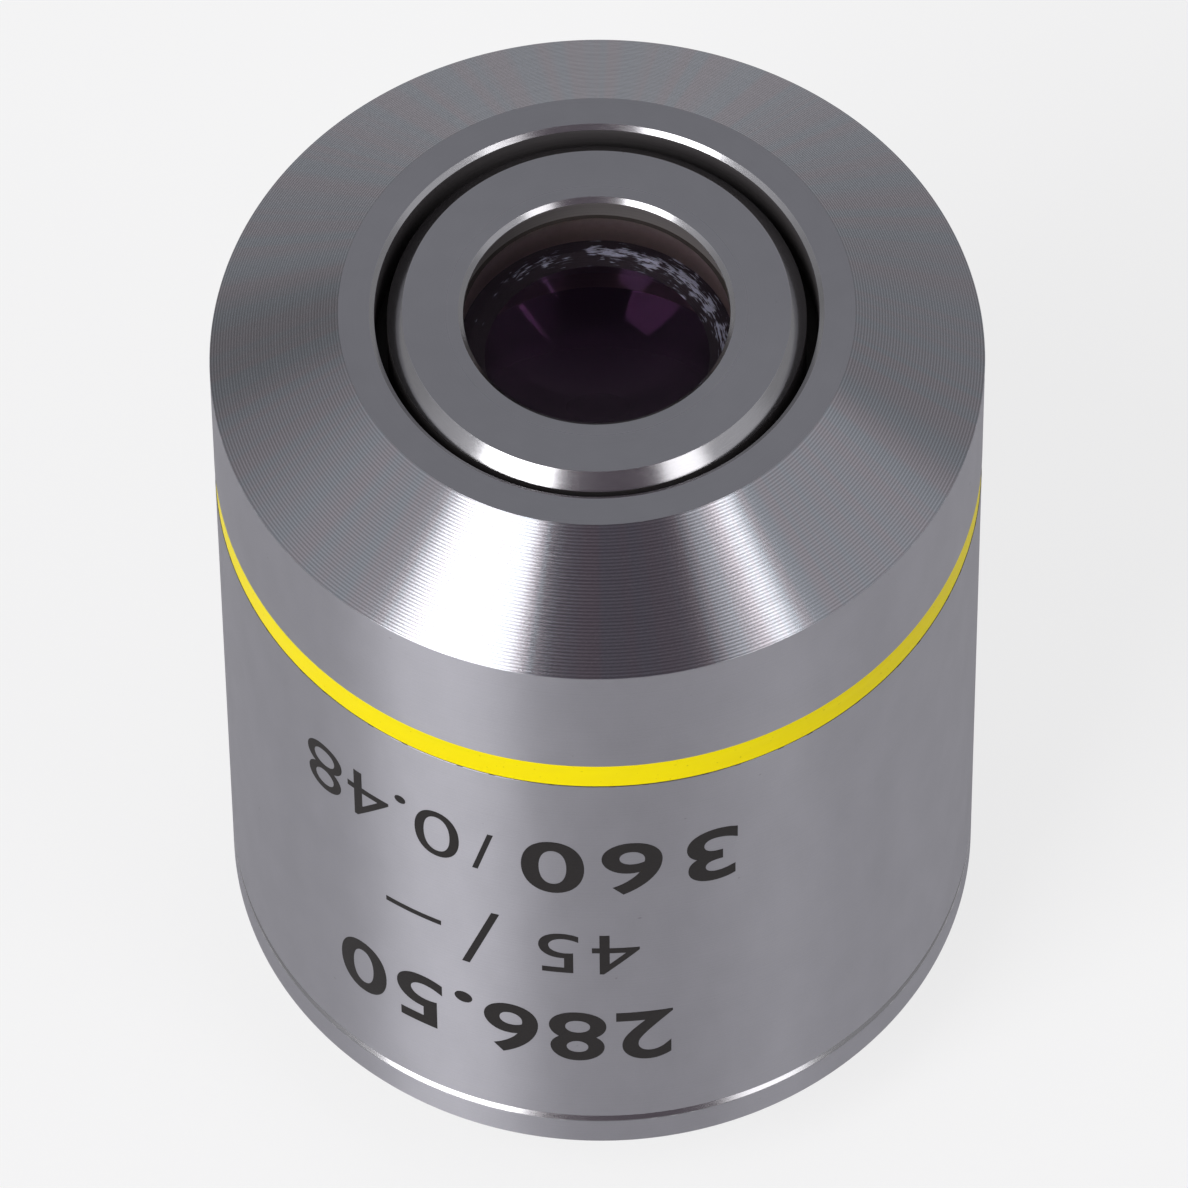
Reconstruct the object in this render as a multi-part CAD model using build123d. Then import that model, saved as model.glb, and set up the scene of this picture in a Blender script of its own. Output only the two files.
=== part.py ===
from build123d import *
from math import copysign, sqrt
import os

# Microscope objective, a low-power plan lens with one sleeve diameter.
# Millimetres. The origin is on the optical axis in the plane of the mounting
# shoulder, +Z points to the front lens. Every turned piece is an outline in
# the XZ plane, written as (radius, height) points and revolved about Z.

# Outer form
body_radius = 14.0
nose_height = 34.7
parting_chamfer = 0.2

# Clearances, and one overrun for all cuts
fit_clearance = 0.02
cement_gap = 0.02
overrun = 1.0

# Mount body: flange, objective thread, and the spigot with its cup for the barrel
flange_height = 1.8
thread_radius = 10.13
thread_length = 4.6
thread_lead_chamfer = 0.5
thread_wall = 1.43
shoulder_relief_width = 1.2
shoulder_relief_depth = 0.25
seat_height = 1.2
ledge_thickness = 0.6
ledge_step = 0.1
spigot_height = 4.2
spigot_wall = 1.3

# Sleeve
sleeve_wall = 1.8
cone_height = 2.87
face_width = 1.12
nose_plate_thickness = 2.2
opening_chamfer_width = 0.18
opening_chamfer_depth = 0.15

# Colour ring: paint in a shallow groove
groove_below_face = 8.62
groove_width = 1.34
groove_depth = 0.15
paint_recess = 0.03

# Lens barrel, its shim and its lock ring
shim_thickness = 0.3
shim_step = 0.24
barrel_wall = 1.5
collar_width = 1.0
collar_height = 2.7
lock_ring_height = 1.5
spanner_slot_width = 1.0
spanner_slot_depth = 0.6

# Front cell: the visible nose
nose_radius = 7.55
nose_gap = 0.45
nose_setback = 0.03
nose_edge_width = 0.55
nose_edge_depth = 0.5
aperture_radius = 4.98
aperture_chamfer_width = 0.18
aperture_chamfer_depth = 0.16
lip_thickness = 0.12
recess_step = 0.26
recess_depth = 1.0
front_flange_step = 0.66
front_flange_thickness = 1.4
front_flange_gap = 1.1
skirt_length = 2.2

# Stack inside the barrel, from the rear up
retaining_ring_recess = 0.4
retaining_ring_height = 1.4
retaining_ring_width = 3.1
rear_cell_height = 3.4
rear_cell_wall = 2.7
rear_spacer_height = 0.8
fourth_cell_height = 4.0
fourth_cell_wall = 2.1
middle_spacer_height = 1.0
stop_thickness = 0.4
stop_width = 3.9
third_cell_height = 4.0
third_cell_wall = 1.5
second_cell_height = 3.2
second_cell_wall = 1.9
spacer_wall = 1.2
cell_lip_thickness = 0.5
lens_ring_height = 1.0
lens_ring_width = 0.45

# Lenses. A rise is how far a surface's middle stands nearer the nose than its rim
lens_rim_width = 0.8
front_lens_overlap = 0.3
front_lens_rim_width = 0.45
front_lens_front_rise = -0.71
front_lens_rear_rise = -1.24
front_lens_thickness = 3.2
second_lens_front_rise = -0.5
second_lens_rear_rise = -1.1
second_lens_thickness = 2.2
third_doublet_front_rise = 1.2
third_doublet_joint_rise = -1.3
third_doublet_rear_rise = -0.2
third_crown_thickness = 3.4
third_flint_thickness = 1.0
fourth_doublet_front_rise = 0.9
fourth_doublet_joint_rise = -1.2
fourth_doublet_rear_rise = 0.3
fourth_crown_thickness = 2.9
fourth_flint_thickness = 1.0
rear_lens_front_rise = 0.45
rear_lens_rear_rise = -0.45
rear_lens_thickness = 2.4

# Centring screws in the barrel wall, round the third cell
screw_count = 3
screw_radius = 0.8
screw_recess = 0.2
hex_socket_across = 0.9
hex_socket_depth = 0.6

# Radii that follow, from the sleeve inwards
sleeve_bore_radius = body_radius - sleeve_wall
spigot_radius = sleeve_bore_radius - fit_clearance
cup_radius = spigot_radius - spigot_wall
collar_radius = cup_radius - fit_clearance
barrel_radius = collar_radius - collar_width
barrel_bore_radius = barrel_radius - barrel_wall
cell_radius = barrel_bore_radius - fit_clearance
rear_bore_radius = thread_radius - thread_wall
ledge_radius = barrel_bore_radius + ledge_step
front_flange_radius = barrel_radius - front_flange_step
opening_radius = nose_radius + nose_gap
face_outer_radius = opening_radius + opening_chamfer_width + face_width
cone_slope = cone_height / (body_radius - face_outer_radius)
groove_floor_radius = body_radius - groove_depth
lip_radius = aperture_radius - aperture_chamfer_width
recess_radius = lip_radius + recess_step
front_lens_edge = recess_radius + front_lens_overlap
second_lens_edge = cell_radius - second_cell_wall
third_doublet_edge = cell_radius - third_cell_wall
fourth_doublet_edge = cell_radius - fourth_cell_wall
rear_lens_edge = cell_radius - rear_cell_wall

# Heights that follow for the housing
groove_bottom = nose_height - groove_below_face - groove_width
plate_inside = nose_height - nose_plate_thickness
spigot_top = flange_height + spigot_height
barrel_foot = seat_height + shim_thickness
collar_top = barrel_foot + collar_height
nose_face = nose_height - nose_setback
lip_underside = nose_face - aperture_chamfer_depth - lip_thickness
lens_shoulder = lip_underside - recess_depth
front_flange_top = plate_inside - front_flange_gap
barrel_top = front_flange_top - front_flange_thickness
skirt_bottom = barrel_top - skirt_length

# Heights that follow for the stack; the front spacer fills what the cells leave
retaining_ring_bottom = barrel_foot + retaining_ring_recess
rear_cell_bottom = retaining_ring_bottom + retaining_ring_height
rear_spacer_bottom = rear_cell_bottom + rear_cell_height
fourth_cell_bottom = rear_spacer_bottom + rear_spacer_height
middle_spacer_bottom = fourth_cell_bottom + fourth_cell_height
stop_bottom = middle_spacer_bottom + middle_spacer_height
third_cell_bottom = stop_bottom + stop_thickness
front_spacer_bottom = third_cell_bottom + third_cell_height
second_cell_bottom = skirt_bottom - second_cell_height
front_spacer_height = second_cell_bottom - front_spacer_bottom


def turned(*outline):
    """A solid of revolution from a closed outline of (radius, height) points"""
    path = Polyline(*[(radius, 0, height) for radius, height in outline], close=True)
    return revolve(make_face(path.edges()), axis=Axis.Z)


def ring(outer_radius, inner_radius, bottom, height):
    """A plain flat ring"""
    top = bottom + height
    return turned((inner_radius, bottom), (outer_radius, bottom), (outer_radius, top), (inner_radius, top))


def surface(rise, clear_radius, vertex):
    """The arc of a lens surface, from the axis out to its clear edge"""
    surface_radius = (clear_radius**2 + rise**2) / (2 * abs(rise))
    middle = clear_radius / 2
    depth = surface_radius - sqrt(surface_radius**2 - middle**2)
    return ThreePointArc(
        (0, 0, vertex),
        (middle, 0, vertex - copysign(depth, rise)),
        (clear_radius, 0, vertex - rise),
    )


def rear_rim_height(front_rise, rear_rise, thickness, front_rim):
    """Height of a lens's flat rear rim, when its front rim lies at the given height"""
    return front_rim + front_rise - thickness - rear_rise


def lens(edge_radius, rim_width, front_rise, rear_rise, thickness, front_rim):
    """A lens with a flat rim round each surface, its front rim at the given height"""
    clear_radius = edge_radius - rim_width
    front_vertex = front_rim + front_rise
    rear_vertex = front_vertex - thickness
    rear_rim = rear_rim_height(front_rise, rear_rise, thickness, front_rim)
    front = surface(front_rise, clear_radius, front_vertex)
    rear = surface(rear_rise, clear_radius, rear_vertex)
    edge = Polyline(
        (clear_radius, 0, front_rim),
        (edge_radius, 0, front_rim),
        (edge_radius, 0, rear_rim),
        (clear_radius, 0, rear_rim),
    )
    axis = Line((0, 0, front_vertex), (0, 0, rear_vertex))
    profile = make_face(front.edges() + edge.edges() + rear.edges() + axis.edges())
    return revolve(profile, axis=Axis.Z)


def cell(lens_edge, bottom, height):
    """A ring-shaped lens cell with a lip at its top that the lens bears against"""
    top = bottom + height
    lip = top - cell_lip_thickness
    seat_radius = lens_edge + fit_clearance
    clear_radius = lens_edge - lens_rim_width
    return turned(
        (seat_radius, bottom),
        (cell_radius, bottom),
        (cell_radius, top),
        (clear_radius, top),
        (clear_radius, lip),
        (seat_radius, lip),
    )


def lens_ring(lens_edge, top):
    """The thin ring that keeps a lens in its cell, under the lens's rear rim"""
    return ring(lens_edge, lens_edge - lens_ring_width, top - lens_ring_height, lens_ring_height)


def spanner_slots(outer_radius, face_height):
    """The bar that cuts two opposite spanner slots across a ring, centred on its face"""
    bar = Box(2 * outer_radius + overrun, spanner_slot_width, 2 * spanner_slot_depth)
    return Pos(0, 0, face_height) * bar


def outer_sleeve():
    """Tube with the cone, the flat face, the chamfered opening and the colour groove"""
    groove_top = groove_bottom + groove_width
    inner_cone_base = plate_inside - (sleeve_bore_radius - face_outer_radius) * cone_slope
    return turned(
        (sleeve_bore_radius, flange_height),
        (body_radius - parting_chamfer, flange_height),
        (body_radius, flange_height + parting_chamfer),
        (body_radius, groove_bottom),
        (groove_floor_radius, groove_bottom),
        (groove_floor_radius, groove_top),
        (body_radius, groove_top),
        (body_radius, nose_height - cone_height),
        (face_outer_radius, nose_height),
        (opening_radius + opening_chamfer_width, nose_height),
        (opening_radius, nose_height - opening_chamfer_depth),
        (opening_radius, plate_inside),
        (face_outer_radius, plate_inside),
        (sleeve_bore_radius, inner_cone_base),
    )


def colour_ring():
    """Paint that fills the groove almost to the wall"""
    return ring(body_radius - paint_recess, groove_floor_radius, groove_bottom, groove_width)


def mount_body():
    """Flange with the objective thread below it and the spigot for the sleeve above it"""
    relief_radius = thread_radius + shoulder_relief_width
    ledge_underside = seat_height - ledge_thickness
    return turned(
        (rear_bore_radius, -thread_length),
        (thread_radius - thread_lead_chamfer, -thread_length),
        (thread_radius, thread_lead_chamfer - thread_length),
        (thread_radius, shoulder_relief_depth),
        (relief_radius, shoulder_relief_depth),
        (relief_radius, 0),
        (body_radius - parting_chamfer, 0),
        (body_radius, parting_chamfer),
        (body_radius, flange_height - parting_chamfer),
        (body_radius - parting_chamfer, flange_height),
        (spigot_radius, flange_height),
        (spigot_radius, spigot_top),
        (cup_radius, spigot_top),
        (cup_radius, seat_height),
        (ledge_radius, seat_height),
        (ledge_radius, ledge_underside),
        (rear_bore_radius, ledge_underside),
    )


def parfocal_shim():
    """Thin ring under the barrel that sets the distance from the shoulder"""
    return ring(collar_radius, barrel_bore_radius + shim_step, seat_height, shim_thickness)


def screw_places():
    """Centre of the third cell turned to each centring screw, with X pointing outwards"""
    height = third_cell_bottom + third_cell_height / 2
    turn = 360 / screw_count
    return [Pos(0, 0, height) * Rot(0, 0, index * turn) for index in range(screw_count)]


def radial_rod(radius, start, end):
    """A round rod along X from one distance to another"""
    length = end - start
    return Pos(start + length / 2, 0, 0) * Rot(0, 90, 0) * Cylinder(radius, length)


def lens_barrel():
    """Tube that carries the stack of cells, with a collar at its foot and three screw holes"""
    tube = turned(
        (barrel_bore_radius, barrel_foot),
        (collar_radius, barrel_foot),
        (collar_radius, collar_top),
        (barrel_radius, collar_top),
        (barrel_radius, barrel_top),
        (barrel_bore_radius, barrel_top),
    )
    for place in screw_places():
        tube -= place * radial_rod(screw_radius, barrel_bore_radius - overrun, barrel_radius + overrun)
    return tube


def centring_screws():
    """Set screws that bear on the third cell, one group of separate solids"""
    head = barrel_radius - screw_recess
    hexagon = RegularPolygon(hex_socket_across / 2, 6, major_radius=False)
    bit = extrude(hexagon, hex_socket_depth + overrun)
    socket = Pos(head - hex_socket_depth, 0, 0) * Rot(0, 90, 0) * bit
    screw = radial_rod(screw_radius - fit_clearance, cell_radius, head) - socket
    return Compound([(place * screw).solid() for place in screw_places()])


def barrel_lock_ring():
    """Ring round the barrel that holds its collar down in the cup"""
    plain = ring(collar_radius, barrel_radius + fit_clearance, collar_top, lock_ring_height)
    return plain - spanner_slots(collar_radius, collar_top + lock_ring_height)


def front_cell():
    """The nose, with a flange on the barrel, a skirt in its bore and a recess before the lens"""
    seat_radius = front_lens_edge + fit_clearance
    return turned(
        (seat_radius, skirt_bottom),
        (cell_radius, skirt_bottom),
        (cell_radius, barrel_top),
        (front_flange_radius, barrel_top),
        (front_flange_radius, front_flange_top),
        (nose_radius, front_flange_top),
        (nose_radius, nose_face - nose_edge_depth),
        (nose_radius - nose_edge_width, nose_face),
        (aperture_radius, nose_face),
        (lip_radius, nose_face - aperture_chamfer_depth),
        (lip_radius, lip_underside),
        (recess_radius, lip_underside),
        (recess_radius, lens_shoulder),
        (seat_radius, lens_shoulder),
    )


def front_lens_pieces():
    """Meniscus behind the shoulder in the nose, with its ring"""
    sizes = (front_lens_front_rise, front_lens_rear_rise, front_lens_thickness, lens_shoulder)
    rear_rim = rear_rim_height(*sizes)
    return {
        "front_lens": lens(front_lens_edge, front_lens_rim_width, *sizes),
        "front_lens_ring": lens_ring(front_lens_edge, rear_rim),
    }


def second_lens_pieces():
    """Cell and lens next behind the front cell"""
    rim = second_cell_bottom + second_cell_height - cell_lip_thickness
    sizes = (second_lens_front_rise, second_lens_rear_rise, second_lens_thickness, rim)
    return {
        "second_cell": cell(second_lens_edge, second_cell_bottom, second_cell_height),
        "second_lens": lens(second_lens_edge, lens_rim_width, *sizes),
    }


def doublet(edge_radius, rises, crown_thickness, flint_thickness, rim):
    """A cemented pair: a crown element with a flint element behind it"""
    front_rise, joint_rise, rear_rise = rises
    crown_sizes = (front_rise, joint_rise, crown_thickness, rim)
    joint = rear_rim_height(*crown_sizes)
    flint_sizes = (joint_rise, rear_rise, flint_thickness, joint - cement_gap)
    crown = lens(edge_radius, lens_rim_width, *crown_sizes)
    flint = lens(edge_radius, lens_rim_width, *flint_sizes)
    return crown, flint


def third_doublet_pieces():
    """Cell and cemented pair in front of the stop"""
    crown, flint = doublet(
        third_doublet_edge,
        (third_doublet_front_rise, third_doublet_joint_rise, third_doublet_rear_rise),
        third_crown_thickness,
        third_flint_thickness,
        third_cell_bottom + third_cell_height - cell_lip_thickness,
    )
    holder = cell(third_doublet_edge, third_cell_bottom, third_cell_height)
    return {"third_cell": holder, "third_crown_lens": crown, "third_flint_lens": flint}


def fourth_doublet_pieces():
    """Cell and cemented pair behind the stop"""
    crown, flint = doublet(
        fourth_doublet_edge,
        (fourth_doublet_front_rise, fourth_doublet_joint_rise, fourth_doublet_rear_rise),
        fourth_crown_thickness,
        fourth_flint_thickness,
        fourth_cell_bottom + fourth_cell_height - cell_lip_thickness,
    )
    holder = cell(fourth_doublet_edge, fourth_cell_bottom, fourth_cell_height)
    return {"fourth_cell": holder, "fourth_crown_lens": crown, "fourth_flint_lens": flint}


def rear_lens_pieces():
    """Cell, lens and ring that show in the rear bore"""
    rim = rear_cell_bottom + rear_cell_height - cell_lip_thickness
    sizes = (rear_lens_front_rise, rear_lens_rear_rise, rear_lens_thickness, rim)
    rear_rim = rear_rim_height(*sizes)
    return {
        "rear_cell": cell(rear_lens_edge, rear_cell_bottom, rear_cell_height),
        "rear_lens": lens(rear_lens_edge, lens_rim_width, *sizes),
        "rear_lens_ring": lens_ring(rear_lens_edge, rear_rim),
    }


def spacer(bottom, height):
    """Distance ring between two cells"""
    return ring(cell_radius, cell_radius - spacer_wall, bottom, height)


def aperture_stop():
    """Thin disc with the hole that limits the beam"""
    return ring(cell_radius, cell_radius - stop_width, stop_bottom, stop_thickness)


def cell_retaining_ring():
    """Slotted ring at the barrel's foot that holds the stack"""
    bore_radius = cell_radius - retaining_ring_width
    plain = ring(cell_radius, bore_radius, retaining_ring_bottom, retaining_ring_height)
    return plain - spanner_slots(cell_radius, retaining_ring_bottom)


pieces = {
    "outer_sleeve": outer_sleeve(),
    "colour_ring": colour_ring(),
    "mount_body": mount_body(),
    "parfocal_shim": parfocal_shim(),
    "lens_barrel": lens_barrel(),
    "centring_screws": centring_screws(),
    "barrel_lock_ring": barrel_lock_ring(),
    "front_cell": front_cell(),
    **front_lens_pieces(),
    **second_lens_pieces(),
    "front_spacer": spacer(front_spacer_bottom, front_spacer_height),
    **third_doublet_pieces(),
    "aperture_stop": aperture_stop(),
    "middle_spacer": spacer(middle_spacer_bottom, middle_spacer_height),
    **fourth_doublet_pieces(),
    "rear_spacer": spacer(rear_spacer_bottom, rear_spacer_height),
    **rear_lens_pieces(),
    "cell_retaining_ring": cell_retaining_ring(),
}

os.makedirs("parts", exist_ok=True)
for name, piece in pieces.items():
    export_step(piece, f"parts/{name}.step")
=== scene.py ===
from math import asin, copysign, cos, hypot, pi, radians, sin, tan, tau

import bmesh
import bpy
from mathutils import Color, Matrix, Vector


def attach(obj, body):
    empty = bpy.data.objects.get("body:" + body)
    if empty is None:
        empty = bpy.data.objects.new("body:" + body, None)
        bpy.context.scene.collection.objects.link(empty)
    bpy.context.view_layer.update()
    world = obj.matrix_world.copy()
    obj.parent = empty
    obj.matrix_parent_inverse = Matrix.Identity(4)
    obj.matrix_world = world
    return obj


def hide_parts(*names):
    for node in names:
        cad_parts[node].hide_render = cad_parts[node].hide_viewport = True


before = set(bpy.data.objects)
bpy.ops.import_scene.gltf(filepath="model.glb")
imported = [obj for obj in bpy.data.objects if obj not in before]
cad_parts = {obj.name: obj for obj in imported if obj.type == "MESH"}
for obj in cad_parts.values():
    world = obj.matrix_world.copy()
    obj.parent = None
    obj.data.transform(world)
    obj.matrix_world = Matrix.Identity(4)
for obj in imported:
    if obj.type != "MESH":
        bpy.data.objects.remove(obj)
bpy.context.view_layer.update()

# Microscope objective, dressed. Lengths are in millimetres and angles in
# degrees until they reach the mesh. The optical axis is Z, the mounting
# shoulder is at height 0, and azimuth 0 faces the camera, growing to its right.
metres = 0.001
axis_point = Vector((0, 0, 0))
optical_axis = Vector((0, 0, 1))

# Outer form, as the solids have it
body_radius = 14.0
nose_height = 34.7
flange_height = 1.8
parting_chamfer = 0.2
sleeve_bore_radius = 12.2
cone_height = 2.87
face_outer_radius = 9.3
plate_inside = 32.5
opening_radius = 8.0
opening_chamfer_width = 0.18
opening_chamfer_depth = 0.15
groove_bottom = 24.74
groove_top = 26.08
groove_floor_radius = 13.85
paint_recess = 0.03

# Mount body
spigot_radius = 12.18
spigot_top = 6.0
cup_radius = 10.88
seat_height = 1.2
ledge_radius = 8.46
ledge_underside = 0.6
rear_bore_radius = 8.7
relief_radius = 11.33
relief_depth = 0.25
thread_radius = 10.13
thread_length = 4.6
thread_lead_chamfer = 0.5

# Front cell
nose_radius = 7.55
nose_face = 34.67
nose_edge_width = 0.55
nose_edge_depth = 0.5
aperture_radius = 4.98
aperture_chamfer_depth = 0.16
lip_radius = 4.8
lip_underside = 34.39
recess_radius = 5.06
lens_shoulder = 33.39
front_flange_radius = 9.2
front_flange_top = 31.4
barrel_top = 30.0
cell_radius = 8.34
skirt_bottom = 27.8
front_seat_radius = 5.38

# Screw thread, a 55 degree form with flat crests and roots, 36 turns to the inch
inch = 25.4
turns_per_inch = 36
thread_pitch = inch / turns_per_inch
thread_depth_share = 0.64
thread_root_radius = thread_radius - thread_depth_share * thread_pitch
crest_share = 1 / 6
thread_runout = 0.55
thread_steps = 120
flank_cuts = 2

# Fineness of the turned meshes
turn_steps = 360
dome_steps = 24
round_segments = 3
edge_round = 0.03
fine_round = 0.012
merge_distance = 0.0001
sharp_angle = 3

# Rims of the lenses: width of the front one's chipped band, the upward part of a
# normal below which a face points to the rear, and the gap that keeps the ground
# edges off the rings
chip_width = 0.5
rear_facing = -0.5
rim_clearance = 0.01

# Printed numbers: how far they stand out, how closely they follow the wall, and
# how deep the letters are before they are scaled
print_stand = 0.005
print_depth = 0.01
print_slice = 0.25
letter_depth = 1.0

# Camera, as fitted to the photograph's edges
camera_elevation = 56.558
camera_roll = -0.650
camera_distance = 513.167
camera_lens = 420.0
camera_sensor = 36.0
camera_aim = Vector((-0.214, 0, 16.160))
camera_near = 10.0
camera_far = 20000.0

# Stage
floor_gap = 0.02
floor_height = -thread_length - floor_gap
floor_size = 6000.0
floor_mottle = 30.0
softbox_distance = 1000.0
floor_white_shares = {"Is Camera Ray": 0.75, "Is Glossy Ray": 0.2, "Is Transmission Ray": 0.2}

# Brightness of the room at the horizon and overhead, and the patches of it that
# differ: azimuth and elevation of the middle, inner and outer half width, brightness
room_low = (0.34, 0.34, 0.345)
room_high = (0.35, 0.35, 0.365)
overhead_share = 0.8
room_patches = (
    (-72, 50, 0, 38, (0.58, 0.58, 0.60)),
    (-127, 21, 5, 15, (0.19, 0.19, 0.19)),
    (5, 57, 30, 44, (0.130, 0.108, 0.130)),
    (80, 45, 18, 26, (0.60, 0.60, 0.62)),
)

# Sockets of the Mix node when it mixes colours
first_colour = 6
second_colour = 7
mixed_colour = 2


class Signal:
    """A value that runs through a shader, and that adds a Math node when it is reckoned with"""

    def __init__(self, shader, socket):
        self.shader = shader
        self.socket = socket

    def maths(self, operation, *values):
        """The result of one Math node"""
        return self.shader.add("ShaderNodeMath", {"operation": operation}, dict(enumerate(values)))

    def __add__(self, other):
        return self.maths("ADD", self, other)

    def __mul__(self, other):
        return self.maths("MULTIPLY", self, other)

    def __sub__(self, other):
        return self.maths("SUBTRACT", self, other)

    def __rsub__(self, other):
        return self.maths("SUBTRACT", other, self)

    __radd__ = __add__
    __rmul__ = __mul__

    def sine(self):
        return self.maths("SINE", self)

    def over(self, low, high):
        """Rises smoothly from 0 to 1 between two values"""
        settings = {"interpolation_type": "SMOOTHSTEP"}
        sockets = {"Value": self, "From Min": low, "From Max": high}
        return self.shader.add("ShaderNodeMapRange", settings, sockets)


class Shader:
    """The nodes of one material, or of the world"""

    def __init__(self, owner):
        owner.use_nodes = True
        self.owner = owner
        self.tree = owner.node_tree
        self.tree.nodes.clear()

    def add(self, kind, settings=None, sockets=None, output=0):
        """One node, with its settings first and then the values or links of its sockets"""
        node = self.tree.nodes.new(kind)
        for setting, value in (settings or {}).items():
            setattr(node, setting, value)
        for socket, value in (sockets or {}).items():
            if isinstance(value, Signal):
                self.tree.links.new(value.socket, node.inputs[socket])
            else:
                node.inputs[socket].default_value = value
        return Signal(self, node.outputs[output]) if node.outputs else None

    def place(self):
        """The point on the piece, in metres in the part's frame"""
        return self.add("ShaderNodeTexCoord", output="Object")

    def vector(self, operation, first, second, output="Vector"):
        """The result of one Vector Math node"""
        return self.add("ShaderNodeVectorMath", {"operation": operation}, {0: first, 1: second}, output)

    def axis_distance(self):
        """Distance from the optical axis"""
        flat = self.vector("MULTIPLY", self.place(), (1, 1, 0))
        return self.vector("LENGTH", flat, (0, 0, 0), "Value")

    def azimuth(self):
        """Angle round the optical axis, in radians, with its seam at the back"""
        across = self.vector("DOT_PRODUCT", self.place(), direction(90, 0), "Value")
        towards = self.vector("DOT_PRODUCT", self.place(), direction(0, 0), "Value")
        return across.maths("ARCTAN2", across, towards)

    def height(self):
        """Height above the mounting shoulder"""
        return self.vector("DOT_PRODUCT", self.place(), optical_axis, "Value")

    def noise(self, pitches, detail=2.0):
        """Noise with a typical size in millimetres along X, Y and Z"""
        scale = tuple(1 / (pitch * metres) for pitch in pitches)
        point = self.vector("MULTIPLY", self.place(), scale)
        return self.add("ShaderNodeTexNoise", None, {"Vector": point, "Scale": 1.0, "Detail": detail})

    def ring_noise(self, around, across):
        """Noise drawn out round the optical axis, with its pitches round it and across"""
        flat = self.vector("MULTIPLY", self.place(), (1, 1, 0))
        point = self.vector("MULTIPLY", flat, (1 / (around * metres),) * 3)
        out = self.vector("MULTIPLY", self.axis_distance(), (0, 0, 1 / (across * metres)))
        sockets = {"Vector": self.vector("ADD", point, out), "Scale": 1.0, "Detail": 3.0}
        return self.add("ShaderNodeTexNoise", None, sockets)

    def line_noise(self, along, pitch):
        """Uneven lines across a distance, with a typical pitch in millimetres"""
        settings = {"noise_dimensions": "1D"}
        sockets = {"W": along * (1 / (pitch * metres)), "Scale": 1.0, "Detail": 3.0}
        return self.add("ShaderNodeTexNoise", settings, sockets)

    def blend(self, share, first, second):
        """A colour that goes from the first to the second as a share goes from 0 to 1"""
        sockets = {"Factor": share, first_colour: first, second_colour: second}
        return self.add("ShaderNodeMix", {"data_type": "RGBA"}, sockets, mixed_colour)

    def bump(self, relief, depth):
        """Normals of a relief that goes from 0 to 1, with its depth in millimetres"""
        sockets = {"Height": relief, "Strength": 1.0, "Distance": depth * metres}
        return self.add("ShaderNodeBump", None, sockets)

    def finish(self, sockets):
        """The material, once its surface has these values and links"""
        surface = self.add("ShaderNodeBsdfPrincipled", None, sockets)
        self.add("ShaderNodeOutputMaterial", None, {"Surface": surface})
        return self.owner


def tone(red, green, blue):
    """A colour given as screen values from 0 to 255"""
    full = 255
    colour = Color((red / full, green / full, blue / full)).from_srgb_to_scene_linear()
    return (*colour, 1.0)


def new_shader(name):
    """The shader of a new material, still empty"""
    return Shader(bpy.data.materials.new(name))


# Finishes

def satin_wall():
    """Satin plate on the turned wall: fine lines round it and a few specks"""
    line_pitch = 0.05
    line_depth = 0.0012
    cloud_sizes = (1.5, 1.5, 3.0)
    grain_sizes = (0.06, 0.06, 0.04)
    speck_sizes = (0.3, 0.3, 0.3)
    shader = new_shader("satin_wall")
    lines = shader.line_noise(shader.height(), line_pitch)
    cloud = shader.noise(cloud_sizes)
    grain = shader.noise(grain_sizes)
    speck = shader.noise(speck_sizes, 0.0).over(0.88, 0.93)
    uneven = cloud * 0.3 + lines * 0.4 + grain * 0.3
    plate = shader.blend(uneven, tone(148, 147, 153), tone(186, 185, 192))
    return shader.finish({
        "Base Color": shader.blend(speck * 0.3, plate, tone(90, 86, 82)),
        "Metallic": 1.0,
        "Roughness": 0.345 + lines * 0.05 + grain * 0.04,
        "Anisotropic": 0.95,
        "Anisotropic Rotation": 0.25,
        "Normal": shader.bump(lines * 0.6 + grain * 0.4, line_depth),
    })


def turned_cone():
    """Bright plate over the tool's fine rings, so that lights draw out along the slope, with painted
    shade in the rings' roots and painted highlight on their crests
    """
    tool_pitch = 0.105
    ring_depth = 0.003
    uneven_pitch = 0.3
    fine_pitch = 0.05
    streak_pitch = 1.1
    shader = new_shader("turned_cone")
    distance = shader.axis_distance()
    feed = (distance * (tau / (tool_pitch * metres))).sine() * 0.5 + 0.5
    uneven = shader.line_noise(distance, uneven_pitch)
    fine = shader.line_noise(distance, fine_pitch)
    round_the_base = shader.azimuth() * (body_radius * metres)
    streak = shader.line_noise(round_the_base, streak_pitch).over(0.35, 0.65)
    # The tool rings in the colour are painted light: painted shade in their roots, painted highlight on
    # their crests
    root = shader.blend(streak, tone(148, 144, 149), tone(144, 147, 153))
    crest = shader.blend(streak, tone(188, 184, 190), tone(182, 186, 193))
    return shader.finish({
        "Base Color": shader.blend(feed * 0.85 + fine * 0.15, root, crest),
        "Metallic": 1.0,
        "Roughness": 0.20 + fine * 0.06 + uneven * 0.04,
        "Anisotropic": 0.9,
        "Anisotropic Rotation": 0.25,
        "Normal": shader.bump(feed * (0.7 + uneven * 0.3) + fine * 0.05, ring_depth),
    })


def faced_metal():
    """The flat faces: plate over very fine facing lines"""
    facing_pitch = 0.06
    facing_depth = 0.0008
    cloud_sizes = (1.2, 1.2, 1.2)
    speck_sizes = (0.3, 0.3, 0.3)
    shader = new_shader("faced_metal")
    fine = shader.line_noise(shader.axis_distance(), facing_pitch)
    cloud = shader.noise(cloud_sizes)
    speck = shader.noise(speck_sizes, 0.0).over(0.88, 0.93)
    plate = shader.blend(cloud * 0.6 + fine * 0.3, tone(166, 166, 172), tone(178, 178, 184))
    return shader.finish({
        "Base Color": shader.blend(speck * 0.3, plate, tone(90, 86, 80)),
        "Metallic": 1.0,
        "Roughness": 0.26 + fine * 0.05,
        "Anisotropic": 0.5,
        "Normal": shader.bump(fine, facing_depth),
    })


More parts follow.
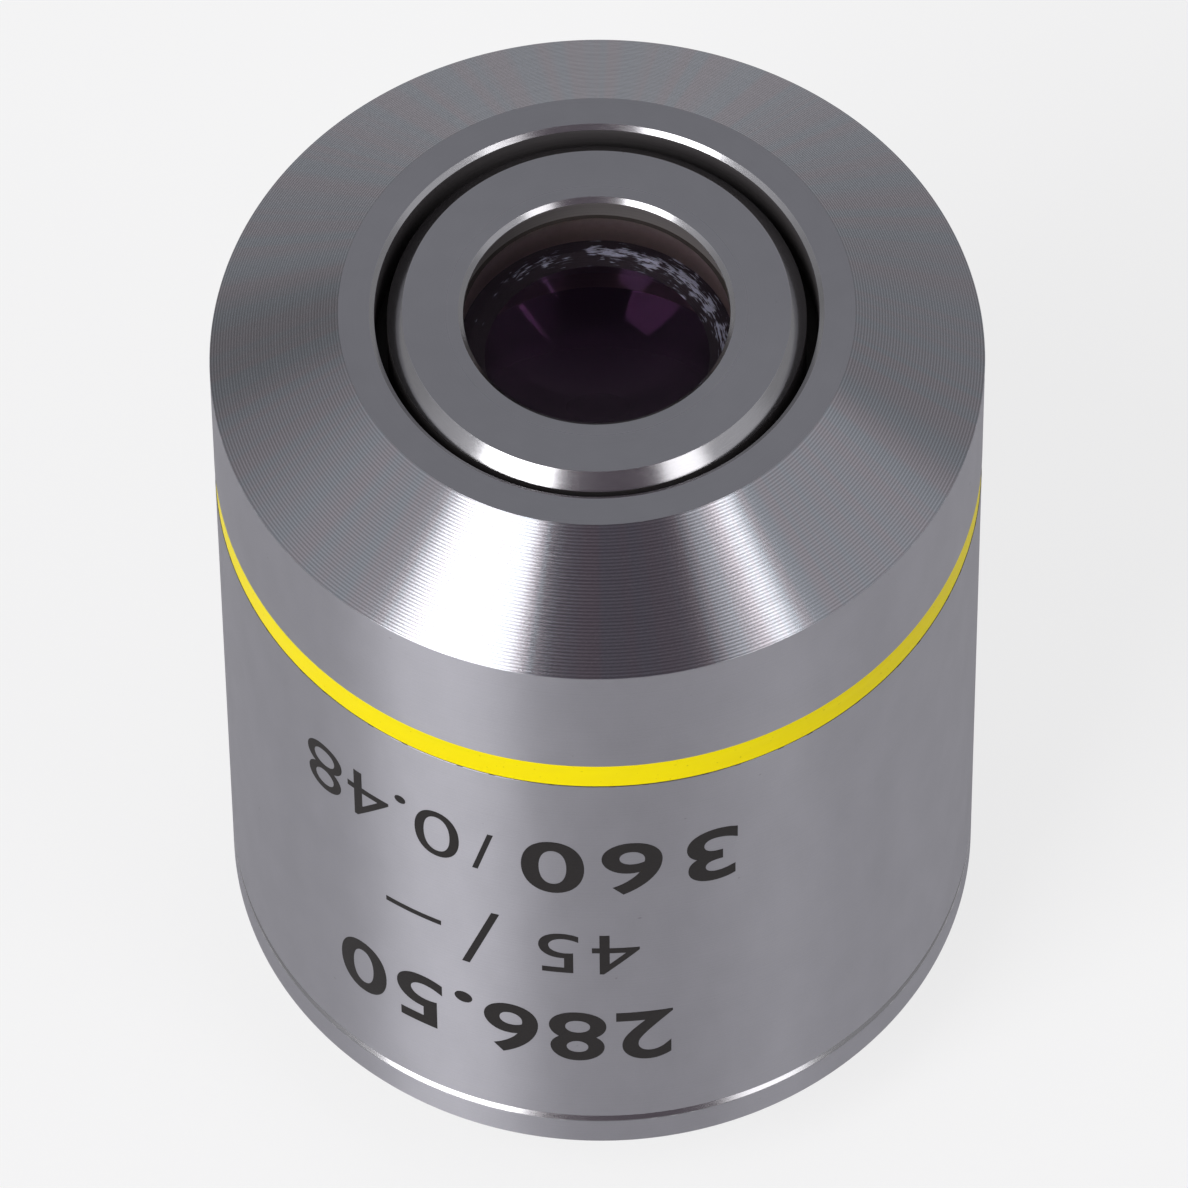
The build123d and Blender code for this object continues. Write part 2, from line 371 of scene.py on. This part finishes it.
def polished_edge():
    """Chamfers cut with a sharp tool"""
    cut_sizes = (0.4, 0.4, 0.02)
    cut_depth = 0.0004
    shader = new_shader("polished_edge")
    fine = shader.noise(cut_sizes)
    return shader.finish({
        "Base Color": shader.blend(fine, tone(174, 173, 176), tone(190, 189, 192)),
        "Metallic": 1.0,
        "Roughness": 0.13 + fine * 0.06,
        "Anisotropic": 0.5,
        "Normal": shader.bump(fine, cut_depth),
    })


def black_inside():
    """Blackened surfaces inside, with faint turning lines"""
    line_pitch = 0.12
    line_depth = 0.004
    shader = new_shader("black_inside")
    lines = shader.line_noise(shader.height() + shader.axis_distance(), line_pitch)
    return shader.finish({
        "Base Color": shader.blend(lines, tone(40, 36, 35), tone(66, 61, 60)),
        "Metallic": 0.0,
        "Roughness": 0.42 + lines * 0.15,
        "Normal": shader.bump(lines, line_depth),
    })


def anodised(name, dark, light):
    """Anodised aluminium: black on the cells, spacers and rings; grey in the gap round the nose, a
    paler copy that is painted light standing in for light reaching into the gap
    """
    line_pitch = 0.1
    grain_sizes = (0.05, 0.05, 0.05)
    grain_depth = 0.004
    shader = new_shader(name)
    lines = shader.line_noise(shader.height() + shader.axis_distance(), line_pitch)
    grain = shader.noise(grain_sizes)
    relief = lines * 0.7 + grain * 0.3
    return shader.finish({
        "Base Color": shader.blend(relief, dark, light),
        "Metallic": 0.0,
        "Roughness": 0.40 + grain * 0.2,
        "Normal": shader.bump(relief, grain_depth),
    })


def turned_plain(name, dark, light, roughness):
    """A bare turned metal, for the pieces that stay out of sight"""
    line_pitch = 0.08
    line_depth = 0.003
    cloud_sizes = (2.0, 2.0, 2.0)
    shader = new_shader(name)
    lines = shader.line_noise(shader.height() + shader.axis_distance(), line_pitch)
    cloud = shader.noise(cloud_sizes)
    return shader.finish({
        "Base Color": shader.blend(lines * 0.4 + cloud * 0.6, dark, light),
        "Metallic": 1.0,
        "Roughness": roughness + lines * 0.1,
        "Normal": shader.bump(lines, line_depth),
    })


def thread_metal():
    """Plated thread, with painted shade down in its roots and its crests left brighter"""
    cut_sizes = (0.5, 0.5, 0.03)
    cut_depth = 0.002
    shader = new_shader("thread_metal")
    # Painted shade: the colour darkens from the crests down into the roots
    high = shader.axis_distance().over(thread_root_radius * metres, thread_radius * metres)
    fine = shader.noise(cut_sizes)
    return shader.finish({
        "Base Color": shader.blend(high, tone(120, 119, 122), tone(196, 195, 198)),
        "Metallic": 1.0,
        "Roughness": 0.34 - high * 0.10 + fine * 0.06,
        "Normal": shader.bump(fine, cut_depth),
    })


def yellow_enamel():
    """Smooth paint that filled the groove, a little uneven"""
    flow_sizes = (1.8, 1.8, 0.5)
    flow_depth = 0.02
    dust_sizes = (0.12, 0.12, 0.12)
    shader = new_shader("yellow_enamel")
    flow = shader.noise(flow_sizes)
    dust = shader.noise(dust_sizes, 0.0).over(0.78, 0.84)
    paint = shader.blend(flow, tone(246, 226, 0), tone(252, 233, 0))
    return shader.finish({
        "Base Color": shader.blend(dust * 0.35, paint, tone(176, 160, 0)),
        "Roughness": 0.34 + flow * 0.08,
        "Specular IOR Level": 0.04,
        "Normal": shader.bump(flow, flow_depth),
    })


def black_print():
    """Ink of the numbers, slightly worn through"""
    wear_sizes = (0.1, 0.1, 0.1)
    wear_depth = 0.002
    shader = new_shader("black_print")
    worn = shader.noise(wear_sizes, 4.0)
    thin = worn.over(0.66, 0.80)
    return shader.finish({
        "Base Color": shader.blend(thin * 0.4, tone(28, 24, 24), tone(74, 70, 72)),
        "Roughness": 0.48 + worn * 0.15,
        "Specular IOR Level": 0.2,
        "Normal": shader.bump(worn, wear_depth),
    })


def coated_glass():
    """Polished glass with a violet reflecting coating"""
    haze_sizes = (2.5, 2.5, 2.5)
    shader = new_shader("coated_glass")
    haze = shader.noise(haze_sizes)
    return shader.finish({
        "Base Color": shader.blend(haze, tone(236, 220, 232), tone(242, 230, 238)),
        "Roughness": 0.0,
        "Transmission Weight": 1.0,
        "Specular Tint": (0.15, 0.08, 0.17, 1.0),
        "IOR": 1.52,
    })


def ground_edge():
    """A lens's ground edge, lacquered grey brown, with painted light that makes it paler towards the
    front, and a dark rim
    """
    grain_sizes = (0.3, 0.3, 0.3)
    grain_depth = 0.002
    painted_light_reach = 2.4
    rim_reach = 0.02
    full_rim_reach = 0.01
    shader = new_shader("ground_edge")
    grain = shader.noise(grain_sizes)
    top = lens_shoulder * metres
    # Painted light: the lacquer pales towards the front, where light comes in
    front = shader.height().over(top - painted_light_reach * metres, top)
    rim = shader.height().over(top - rim_reach * metres, top - full_rim_reach * metres)
    lacquer_and_painted_light = shader.blend(front - rim, tone(112, 100, 92), tone(184, 174, 166))
    edge_tone = shader.blend(rim, lacquer_and_painted_light, tone(44, 38, 36))
    return shader.finish({
        "Base Color": shader.blend(grain * 0.3, edge_tone, tone(70, 62, 58)),
        "Roughness": 0.42 + grain * 0.1,
        "Normal": shader.bump(grain, grain_depth),
    })


def chipped_edge():
    """The rim of a lens's rear surface, with small chips, most on one side, painted a bright blue white
    as a painted glint
    """
    flake_length = 0.45
    flake_width = 0.05
    flake_depth = 0.05
    cluster_sizes = (0.9, 0.9, 0.9)
    worst_azimuth = 140
    chips_reach = 0.9
    dense_reach = 0.55
    thinning_reach = 0.45
    clean_reach = 0.15
    shader = new_shader("chipped_edge")
    rim = front_seat_radius * metres
    distance = shader.axis_distance()
    flakes = shader.ring_noise(flake_length, flake_width)
    cluster = shader.noise(cluster_sizes)
    way = shader.vector("DOT_PRODUCT", shader.place(), direction(worst_azimuth, 0), "Value")
    side = way.over(-0.9 * rim, 1.1 * rim)
    begin = distance.over(rim - chips_reach * metres, rim - dense_reach * metres)
    end = distance.over(rim - thinning_reach * metres, rim - clean_reach * metres)
    chips = flakes * 0.7 + cluster * 0.6 + side * 0.26 + begin * 0.15 - end * 0.15
    # Real chips, with a painted glint: their bright blue-white colour stands in for the light they
    # catch
    bright = chips.over(0.98, 1.14)
    return shader.finish({
        "Base Color": shader.blend(bright, tone(30, 24, 28), tone(222, 236, 255)),
        "Metallic": bright * 0.3,
        "Roughness": 0.5 - bright * 0.25,
        "Normal": shader.bump(flakes, flake_depth),
    })


def recess_wall():
    """Grey wall of the recess before the front lens"""
    line_pitch = 0.08
    line_depth = 0.002
    shader = new_shader("recess_wall")
    lines = shader.line_noise(shader.height(), line_pitch)
    return shader.finish({
        "Base Color": shader.blend(lines, tone(104, 100, 100), tone(122, 117, 117)),
        "Metallic": 0.3,
        "Roughness": 0.45 + lines * 0.1,
        "Normal": shader.bump(lines, line_depth),
    })


# Meshes

def wire(mesh, points, closed=False):
    """Joins (radius, height) points by edges, in the plane where the turning starts"""
    ends = [mesh.verts.new((radius * metres, 0, height * metres)) for radius, height in points]
    for start, end in zip(ends, ends[1:] + ends[:int(closed)]):
        mesh.edges.new((start, end))


def turn(mesh, steps=turn_steps, lift=0):
    """Spins a mesh's wires once round the optical axis, rising by a lift on the way"""
    bmesh.ops.spin(
        mesh,
        geom=[*mesh.verts, *mesh.edges],
        cent=axis_point,
        axis=optical_axis,
        dvec=optical_axis * (lift * metres / steps),
        angle=tau,
        space=Matrix.Identity(4),
        steps=steps,
        use_merge=not lift,
        use_normal_flip=False,
        use_duplicate=False,
    )


def arc(mesh, rise, clear_radius, vertex):
    """The wire of a lens surface, from the axis to its clear radius"""
    surface_radius = (clear_radius**2 + rise**2) / (2 * abs(rise))
    start = mesh.verts.new((0, 0, vertex * metres))
    bmesh.ops.spin(
        mesh,
        geom=[start],
        cent=Vector((0, 0, (vertex - copysign(surface_radius, rise)) * metres)),
        axis=Vector((0, 1, 0)),
        dvec=axis_point,
        angle=copysign(asin(clear_radius / surface_radius), rise),
        space=Matrix.Identity(4),
        steps=dome_steps,
        use_merge=False,
        use_normal_flip=False,
        use_duplicate=False,
    )


def reach(point):
    """How far a point lies from the optical axis, and how high"""
    return Vector((hypot(point.x, point.y), point.z)) / metres


def give_finishes(mesh, points, finishes, closed):
    """Gives each face the finish of the outline's band that it was spun from"""
    corners = [Vector(point) for point in points]
    bands = zip(corners, corners[1:] + corners[:int(closed)], finishes)
    middles = [((start + end) / 2, finish) for start, end, finish in bands]
    for face in mesh.faces:
        centre = reach(face.calc_center_median())
        face.material_index = min(middles, key=lambda middle: (middle[0] - centre).length)[1]


def round_corner(mesh, radius, height, width):
    """Bevels the ring edge that lies at a corner of the outline"""
    corner = Vector((radius, height))
    on_corner = {point for point in mesh.verts if (reach(point.co) - corner).length < merge_distance}
    ring = [edge for edge in mesh.edges if on_corner.issuperset(edge.verts)]
    bmesh.ops.bevel(
        mesh,
        geom=ring,
        offset=width * metres,
        offset_type="OFFSET",
        segments=round_segments,
        profile=0.5,
        affect="EDGES",
        clamp_overlap=True,
        material=-1,
    )


def close_up(mesh):
    """Joins what meets in a mesh and turns its faces outwards"""
    bmesh.ops.remove_doubles(mesh, verts=mesh.verts[:], dist=merge_distance * metres)
    bmesh.ops.recalc_face_normals(mesh, faces=mesh.faces[:])


def piece(name, mesh, materials):
    """The finished object of a mesh, on the part's one body"""
    for face in mesh.faces:
        face.smooth = True
    for edge in mesh.edges:
        edge.smooth = len(edge.link_faces) == 2 and edge.calc_face_angle() < radians(sharp_angle)
    data = bpy.data.meshes.new(name)
    mesh.to_mesh(data)
    mesh.free()
    for material in materials:
        data.materials.append(material)
    made = bpy.data.objects.new(name, data)
    bpy.context.scene.collection.objects.link(made)
    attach(made, "root")
    return made


def turned_mesh(outline):
    """A closed turned mesh from (radius, height, corner round, finish of the band that follows) rows"""
    points = [row[:2] for row in outline]
    mesh = bmesh.new()
    wire(mesh, points, closed=True)
    turn(mesh)
    close_up(mesh)
    give_finishes(mesh, points, [row[3] for row in outline], closed=True)
    for radius, height, width, _ in outline:
        if width:
            round_corner(mesh, radius, height, width)
    return mesh


# Pieces

def sleeve(wall, cone, face, edge, inside, gap_painted_light):
    """The sleeve with its groove, its cone, its flat face and its opening"""
    wall_radius = body_radius - print_stand
    cone_slope = cone_height / (body_radius - face_outer_radius)
    inner_cone_base = plate_inside - (sleeve_bore_radius - face_outer_radius) * cone_slope
    walls, slope, flat, bright, dark, side = range(6)
    outline = [
        (sleeve_bore_radius, flange_height, 0, dark),
        (wall_radius - parting_chamfer, flange_height, 0, bright),
        (wall_radius, flange_height + parting_chamfer, edge_round, walls),
        (wall_radius, groove_bottom, edge_round, dark),
        (groove_floor_radius, groove_bottom, 0, dark),
        (groove_floor_radius, groove_top, 0, dark),
        (wall_radius, groove_top, edge_round, walls),
        (wall_radius, nose_height - cone_height, edge_round, slope),
        (face_outer_radius, nose_height, fine_round, flat),
        (opening_radius + opening_chamfer_width, nose_height, fine_round, bright),
        (opening_radius, nose_height - opening_chamfer_depth, fine_round, side),
        (opening_radius, plate_inside, 0, dark),
        (face_outer_radius, plate_inside, 0, dark),
        (sleeve_bore_radius, inner_cone_base, 0, dark),
    ]
    made = piece("sleeve", turned_mesh(outline), [wall, cone, face, edge, inside, gap_painted_light])
    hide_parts("outer_sleeve")


def enamel_ring(enamel):
    """Paint that fills the groove to just under the wall"""
    surface_radius = body_radius - paint_recess
    outline = [
        (surface_radius, groove_bottom, edge_round, 0),
        (surface_radius, groove_top, edge_round, 0),
        (groove_floor_radius, groove_top, 0, 0),
        (groove_floor_radius, groove_bottom, 0, 0),
    ]
    made = piece("enamel_ring", turned_mesh(outline), [enamel])
    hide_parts("colour_ring")


def nose(face, edge, inside, gap_painted_light, recess):
    """The flat nose with its two bright chamfers"""
    flat, bright, dark, side, grey = range(5)
    outline = [
        (front_seat_radius, skirt_bottom, 0, dark),
        (cell_radius, skirt_bottom, 0, dark),
        (cell_radius, barrel_top, 0, dark),
        (front_flange_radius, barrel_top, 0, dark),
        (front_flange_radius, front_flange_top, 0, dark),
        (nose_radius, front_flange_top, 0, side),
        (nose_radius, nose_face - nose_edge_depth, fine_round, bright),
        (nose_radius - nose_edge_width, nose_face, fine_round, flat),
        (aperture_radius, nose_face, fine_round, bright),
        (lip_radius, nose_face - aperture_chamfer_depth, fine_round, grey),
        (lip_radius, lip_underside, 0, grey),
        (recess_radius, lip_underside, 0, grey),
        (recess_radius, lens_shoulder, 0, dark),
        (front_seat_radius, lens_shoulder, 0, dark),
    ]
    made = piece("nose", turned_mesh(outline), [face, edge, inside, gap_painted_light, recess])
    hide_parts("front_cell")


def thread_limit(height):
    """The largest radius that the thread may have at a height: its lead chamfer and its run-out"""
    lead = thread_radius - thread_lead_chamfer + height + thread_length
    runout = thread_root_radius + max(0, -thread_runout - height)
    return min(lead, runout)


def boundary_at(mesh, height):
    """Open edges of a mesh that lie at one height"""
    level = {point for point in mesh.verts if abs(point.co.z / metres - height) < merge_distance}
    return [edge for edge in mesh.edges if edge.is_boundary and level.issuperset(edge.verts)]


def thread_surface(mesh):
    """One turn's outline swept up a helix, repeated, and cut off level at both ends"""
    foot = -thread_length - thread_pitch
    crest_foot = foot + thread_pitch / 2
    crest_width = crest_share * thread_pitch
    points = [
        (thread_root_radius, foot),
        (thread_root_radius, foot + crest_width),
        (thread_radius, crest_foot),
        (thread_radius, crest_foot + crest_width),
        (thread_root_radius, foot + thread_pitch),
    ]
    wire(mesh, points)
    bmesh.ops.subdivide_edges(mesh, edges=mesh.edges[:], cuts=flank_cuts)
    turn(mesh, thread_steps, thread_pitch)
    one_turn = [*mesh.verts, *mesh.edges, *mesh.faces]
    spare_turns = 2
    for count in range(1, int((thread_length + relief_depth) / thread_pitch) + 1 + spare_turns):
        copied = bmesh.ops.duplicate(mesh, geom=one_turn)["geom"]
        moved = [item for item in copied if isinstance(item, bmesh.types.BMVert)]
        bmesh.ops.translate(mesh, verts=moved, vec=optical_axis * (count * thread_pitch * metres))
    bmesh.ops.remove_doubles(mesh, verts=mesh.verts[:], dist=merge_distance * metres)
    for height, side in ((-thread_length, "clear_inner"), (relief_depth, "clear_outer")):
        bmesh.ops.bisect_plane(
            mesh,
            geom=[*mesh.verts, *mesh.edges, *mesh.faces],
            dist=merge_distance * metres,
            plane_co=optical_axis * (height * metres),
            plane_no=optical_axis,
            **{side: True},
        )
    for point in mesh.verts:
        radius, height = reach(point.co)
        share = min(1, thread_limit(height) / radius)
        point.co.x *= share
        point.co.y *= share


def mount(wall, edge, inside, thread):
    """Flange, spigot and cup, joined to the real thread"""
    threads, walls, bright, dark = range(4)
    wall_radius = body_radius - print_stand
    outline = [
        (relief_radius, relief_depth, walls),
        (relief_radius, 0, walls),
        (wall_radius - parting_chamfer, 0, bright),
        (wall_radius, parting_chamfer, walls),
        (wall_radius, flange_height - parting_chamfer, bright),
        (wall_radius - parting_chamfer, flange_height, dark),
        (spigot_radius, flange_height, dark),
        (spigot_radius, spigot_top, dark),
        (cup_radius, spigot_top, dark),
        (cup_radius, seat_height, dark),
        (ledge_radius, seat_height, dark),
        (ledge_radius, ledge_underside, dark),
        (rear_bore_radius, ledge_underside, dark),
        (rear_bore_radius, -thread_length, dark),
    ]
    points = [row[:2] for row in outline]
    mesh = bmesh.new()
    wire(mesh, points)
    turn(mesh)
    give_finishes(mesh, points, [row[2] for row in outline], closed=False)
    turned = bpy.data.meshes.new("turned")
    mesh.to_mesh(turned)
    mesh.clear()
    thread_surface(mesh)
    mesh.from_mesh(turned)
    bpy.data.meshes.remove(turned)
    for height in (relief_depth, -thread_length):
        bmesh.ops.bridge_loops(mesh, edges=boundary_at(mesh, height))
    close_up(mesh)
    for height in (parting_chamfer, flange_height - parting_chamfer):
        round_corner(mesh, wall_radius, height, edge_round)
    made = piece("mount", mesh, [thread, wall, edge, inside])
    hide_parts("mount_body")


def lens(name, node, edge_radius, rim_width, rises, thickness, front_rim, finishes, slot):
    """A lens with coated surfaces and a ground edge; the front lens has chips at its rear rim"""
    front_rise, rear_rise = rises
    clear_radius = edge_radius - rim_width
    front_vertex = front_rim + front_rise
    rear_vertex = front_vertex - thickness
    rear_rim = rear_vertex - rear_rise
    mesh = bmesh.new()
    arc(mesh, front_rise, clear_radius, front_vertex)
    arc(mesh, rear_rise, clear_radius, rear_vertex)
    wire(mesh, [
        (clear_radius, front_rim),
        (edge_radius, front_rim - rim_clearance),
        (edge_radius, rear_rim + rim_clearance),
        (clear_radius, rear_rim),
    ])
    turn(mesh)
    close_up(mesh)
    polished, ground, chipped = range(3)
    for face in mesh.faces:
        radius, _ = reach(face.calc_center_median())
        face.material_index = polished if radius < clear_radius else ground
        if slot == "front_glass" and face.normal.z < rear_facing and radius > clear_radius - chip_width:
            face.material_index = chipped
    made = piece(name, mesh, finishes)
    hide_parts(node)


def wrap(mesh, first_azimuth, baseline):
    """Lays flat lettering round the wall, to be read with the nose down"""
    for point in mesh.verts:
        across, along, out = point.co
        azimuth = radians(first_azimuth) - across / (body_radius * metres)
        radius = (body_radius - print_stand) * metres + out
        point.co = (radius * sin(azimuth), -radius * cos(azimuth), baseline * metres - along)


def printed(name, letters, azimuths, baseline, cap_height, weight, spacing, ink):
    """Plain numbers between two azimuths, made as thin solids of ink"""
    curve = bpy.data.curves.new(name, "FONT")
    curve.body = letters
    curve.offset = weight
    curve.space_character = spacing
    curve.extrude = letter_depth
    flat = bpy.data.objects.new(name, curve)
    data = bpy.data.meshes.new_from_object(flat)
    mesh = bmesh.new()
    mesh.from_mesh(data)
    bpy.data.objects.remove(flat)
    bpy.data.meshes.remove(data)
    low = [min(point.co[side] for point in mesh.verts) for side in range(3)]
    high = [max(point.co[side] for point in mesh.verts) for side in range(3)]
    first, last = azimuths
    width = radians(first - last) * body_radius
    sizes = (width, cap_height, print_depth)
    scales = [size * metres / (top - bottom) for size, top, bottom in zip(sizes, high, low)]
    bmesh.ops.translate(mesh, verts=mesh.verts[:], vec=(-low[0], -low[1], 0))
    bmesh.ops.scale(mesh, verts=mesh.verts[:], vec=scales)
    bmesh.ops.remove_doubles(mesh, verts=mesh.verts[:], dist=merge_distance * metres)
    for slice_number in range(1, int(width / print_slice) + 1):
        bmesh.ops.bisect_plane(
            mesh,
            geom=[*mesh.verts, *mesh.edges, *mesh.faces],
            dist=merge_distance * metres,
            plane_co=Vector((slice_number * print_slice * metres, 0, 0)),
            plane_no=Vector((1, 0, 0)),
        )
    wrap(mesh, first, baseline)
    bmesh.ops.recalc_face_normals(mesh, faces=mesh.faces[:])
    piece(name, mesh, [ink])


def dress_hidden():
    """Finishes for the solids that keep their own mesh"""
    brass = turned_plain("barrel_brass_finish", tone(176, 138, 70), tone(206, 170, 98), 0.30)
    steel = turned_plain("screw_steel_finish", tone(120, 120, 124), tone(160, 160, 164), 0.28)
    cells = anodised("cell_black_finish", tone(20, 19, 20), tone(38, 37, 38))
    rings = anodised("ring_black_finish", tone(16, 16, 17), tone(34, 33, 34))
    finishes = {
        "lens_barrel": brass,
        "parfocal_shim": brass,
        "barrel_lock_ring": brass,
        "centring_screws": steel,
        "aperture_stop": rings,
        "cell_retaining_ring": rings,
        "front_lens_ring": rings,
        "rear_lens_ring": rings,
    }
    for name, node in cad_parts.items():
        for place in node.material_slots:
            place.material = finishes.get(name, cells)


# Stage, lights and camera

def direction(azimuth, elevation):
    """The way to a light or a viewer, azimuth 0 towards the camera"""
    turn_angle, lift = radians(azimuth), radians(elevation)
    return Vector((sin(turn_angle) * cos(lift), -cos(turn_angle) * cos(lift), sin(lift)))


def softbox(name, azimuths, elevations, lean, radiance):
    """A rectangular lamp over a stretch of directions, its top leaning towards smaller azimuths"""
    middle = sum(azimuths) / 2
    low, high = (softbox_distance * tan(radians(elevation)) for elevation in elevations)
    way = direction(middle, 0)
    lamp = bpy.data.lights.new(name, "AREA")
    lamp.shape = "RECTANGLE"
    lamp.size = 2 * softbox_distance * tan(radians(azimuths[1] - middle)) * metres
    lamp.size_y = (high - low) * metres
    lamp.energy = radiance * pi * lamp.size * lamp.size_y
    stand = bpy.data.objects.new(name, lamp)
    stand.location = (way * softbox_distance + optical_axis * (low + high) / 2) * metres
    upright = way.to_track_quat("Z", "Y").to_matrix()
    stand.rotation_euler = (upright @ Matrix.Rotation(radians(lean), 3, "Z")).to_euler()
    bpy.context.scene.collection.objects.link(stand)


def room_light():
    """A plain grey room with paler and darker patches"""
    world = bpy.data.worlds.new("room")
    bpy.context.scene.world = world
    shader = Shader(world)
    way = shader.add("ShaderNodeTexCoord", output="Generated")
    lift = shader.vector("DOT_PRODUCT", way, optical_axis, "Value")
    colour = shader.blend(lift.over(0.0, overhead_share), (*room_low, 1), (*room_high, 1))
    for azimuth, elevation, inner, outer, patch in room_patches:
        towards = shader.vector("DOT_PRODUCT", way, direction(azimuth, elevation), "Value")
        inside = towards.over(cos(radians(outer)), cos(radians(inner)))
        colour = shader.blend(inside, colour, (*patch, 1))
    light = shader.add("ShaderNodeBackground", None, {"Color": colour, "Strength": 1.0})
    shader.add("ShaderNodeOutputWorld", None, {"Surface": light})


def pale_floor():
    """The floor the part stands on, open to a camera that looks from below"""
    mesh = bmesh.new()
    bmesh.ops.create_grid(mesh, x_segments=1, y_segments=1, size=floor_size / 2 * metres)
    bmesh.ops.translate(mesh, verts=mesh.verts[:], vec=(0, 0, floor_height * metres))
    data = bpy.data.meshes.new("floor")
    mesh.to_mesh(data)
    mesh.free()
    floor = bpy.data.objects.new("floor", data)
    bpy.context.scene.collection.objects.link(floor)
    shader = new_shader("floor_white")
    mottle = shader.noise((floor_mottle,) * 3)
    matt = shader.add("ShaderNodeBsdfDiffuse", None, {
        "Color": shader.blend(mottle, tone(234, 234, 235), tone(238, 238, 239)),
    })
    rays = floor_white_shares.items()
    seen = sum(shader.add("ShaderNodeLightPath", output=ray) * share for ray, share in rays)
    white = shader.add("ShaderNodeEmission", None, {"Color": tone(255, 255, 255), "Strength": 1.0})
    pale = shader.add("ShaderNodeMixShader", None, {0: seen, 1: matt, 2: white})
    clear = shader.add("ShaderNodeBsdfTransparent")
    back = shader.add("ShaderNodeNewGeometry", output="Backfacing")
    surface = shader.add("ShaderNodeMixShader", None, {0: back, 1: pale, 2: clear})
    shader.add("ShaderNodeOutputMaterial", None, {"Surface": surface})
    data.materials.append(shader.owner)


def camera():
    """The camera of the photograph, rolled a little about its line of sight"""
    lift = radians(camera_elevation)
    lens_data = bpy.data.cameras.new("camera")
    lens_data.lens = camera_lens
    lens_data.sensor_width = camera_sensor
    lens_data.clip_start = camera_near * metres
    lens_data.clip_end = camera_far * metres
    viewer = bpy.data.objects.new("camera", lens_data)
    back = Vector((0, -cos(lift), sin(lift)))
    viewer.location = (camera_aim + back * camera_distance) * metres
    level = Matrix.Rotation(pi / 2 - lift, 3, "X")
    viewer.rotation_euler = (level @ Matrix.Rotation(radians(camera_roll), 3, "Z")).to_euler()
    bpy.context.scene.collection.objects.link(viewer)
    bpy.context.scene.camera = viewer


# The dressed part

wall = satin_wall()
face = faced_metal()
edge = polished_edge()
inside = black_inside()
# The gap's grey is a paler copy of the black finish, painted light standing in for light reaching into
# the gap
gap_painted_light = anodised("gap_painted_light_grey", tone(64, 61, 62), tone(80, 77, 78))
sleeve(wall, turned_cone(), face, edge, inside, gap_painted_light)
enamel_ring(yellow_enamel())
nose(face, edge, inside, gap_painted_light, recess_wall())
mount(wall, edge, inside, thread_metal())

glass = coated_glass()
ground = ground_edge()
chipped = chipped_edge()

# The lenses from front to rear: edge radius, rim width, rises of both surfaces,
# thickness, height of the front rim, and slot
for node, edge_radius, rim_width, rises, thickness, front_rim, slot in (
    ("front_lens", 5.36, 0.45, (-0.71, -1.24), 3.2, lens_shoulder, "front_glass"),
    ("second_lens", 6.44, 0.8, (-0.5, -1.1), 2.2, 27.3, "lens_glass"),
    ("third_crown_lens", 6.84, 0.8, (1.2, -1.3), 3.4, 16.4, "lens_glass"),
    ("third_flint_lens", 6.84, 0.8, (-1.3, -0.2), 1.0, 15.48, "lens_glass"),
    ("fourth_crown_lens", 6.24, 0.8, (0.9, -1.2), 2.9, 11.0, "lens_glass"),
    ("fourth_flint_lens", 6.24, 0.8, (-1.2, 0.3), 1.0, 10.18, "lens_glass"),
    ("rear_lens", 5.64, 0.8, (0.45, -0.45), 2.4, 6.2, "lens_glass"),
):
    finishes = [glass, ground, chipped if slot == "front_glass" else ground]
    lens(node + "_glass", node, edge_radius, rim_width, rises, thickness, front_rim, finishes, slot)

ink = black_print()

# The groups of numbers: first and last azimuth, height of the baseline, cap height,
# weight, and letter spacing
for name, letters, azimuths, baseline, cap_height, weight, spacing in (
    ("print_scale", "360", (20.5, -12.3), 20.9, 3.45, 0.018, 1.2),
    ("print_scale_stroke", "/", (-16.5, -19.9), 20.66, 2.5, 0.0, 1.0),
    ("print_scale_fine", "0.48", (-21.9, -49.8), 21.07, 2.97, -0.004, 1.0),
    ("print_length", "45", (5.4, -9.9), 14.7, 2.7, 0.0, 1.1),
    ("print_length_stroke", "/", (-15.8, -21.9), 15.35, 3.85, -0.01, 1.0),
    ("print_length_dash", "-", (-25.2, -34.7), 13.7, 0.3, 0.0, 1.0),
    ("print_distance", "286.50", (10.4, -44.0), 9.3, 3.4, 0.018, 1.1),
):
    printed(name, letters, azimuths, baseline, cap_height, weight, spacing, ink)

dress_hidden()

# The stage

softbox("left_softbox", (-58, -24.5), (12, 66), 5, 5.0)
softbox("right_softbox", (37, 54.5), (44, 66), -8, 0.55)
softbox("right_strip", (54.5, 59), (44, 66), -8, 5.5)
softbox("right_window", (32, 52), (24, 44), 0, 2.2)
room_light()
pale_floor()
camera()

bpy.context.scene.view_settings.view_transform = "Standard"
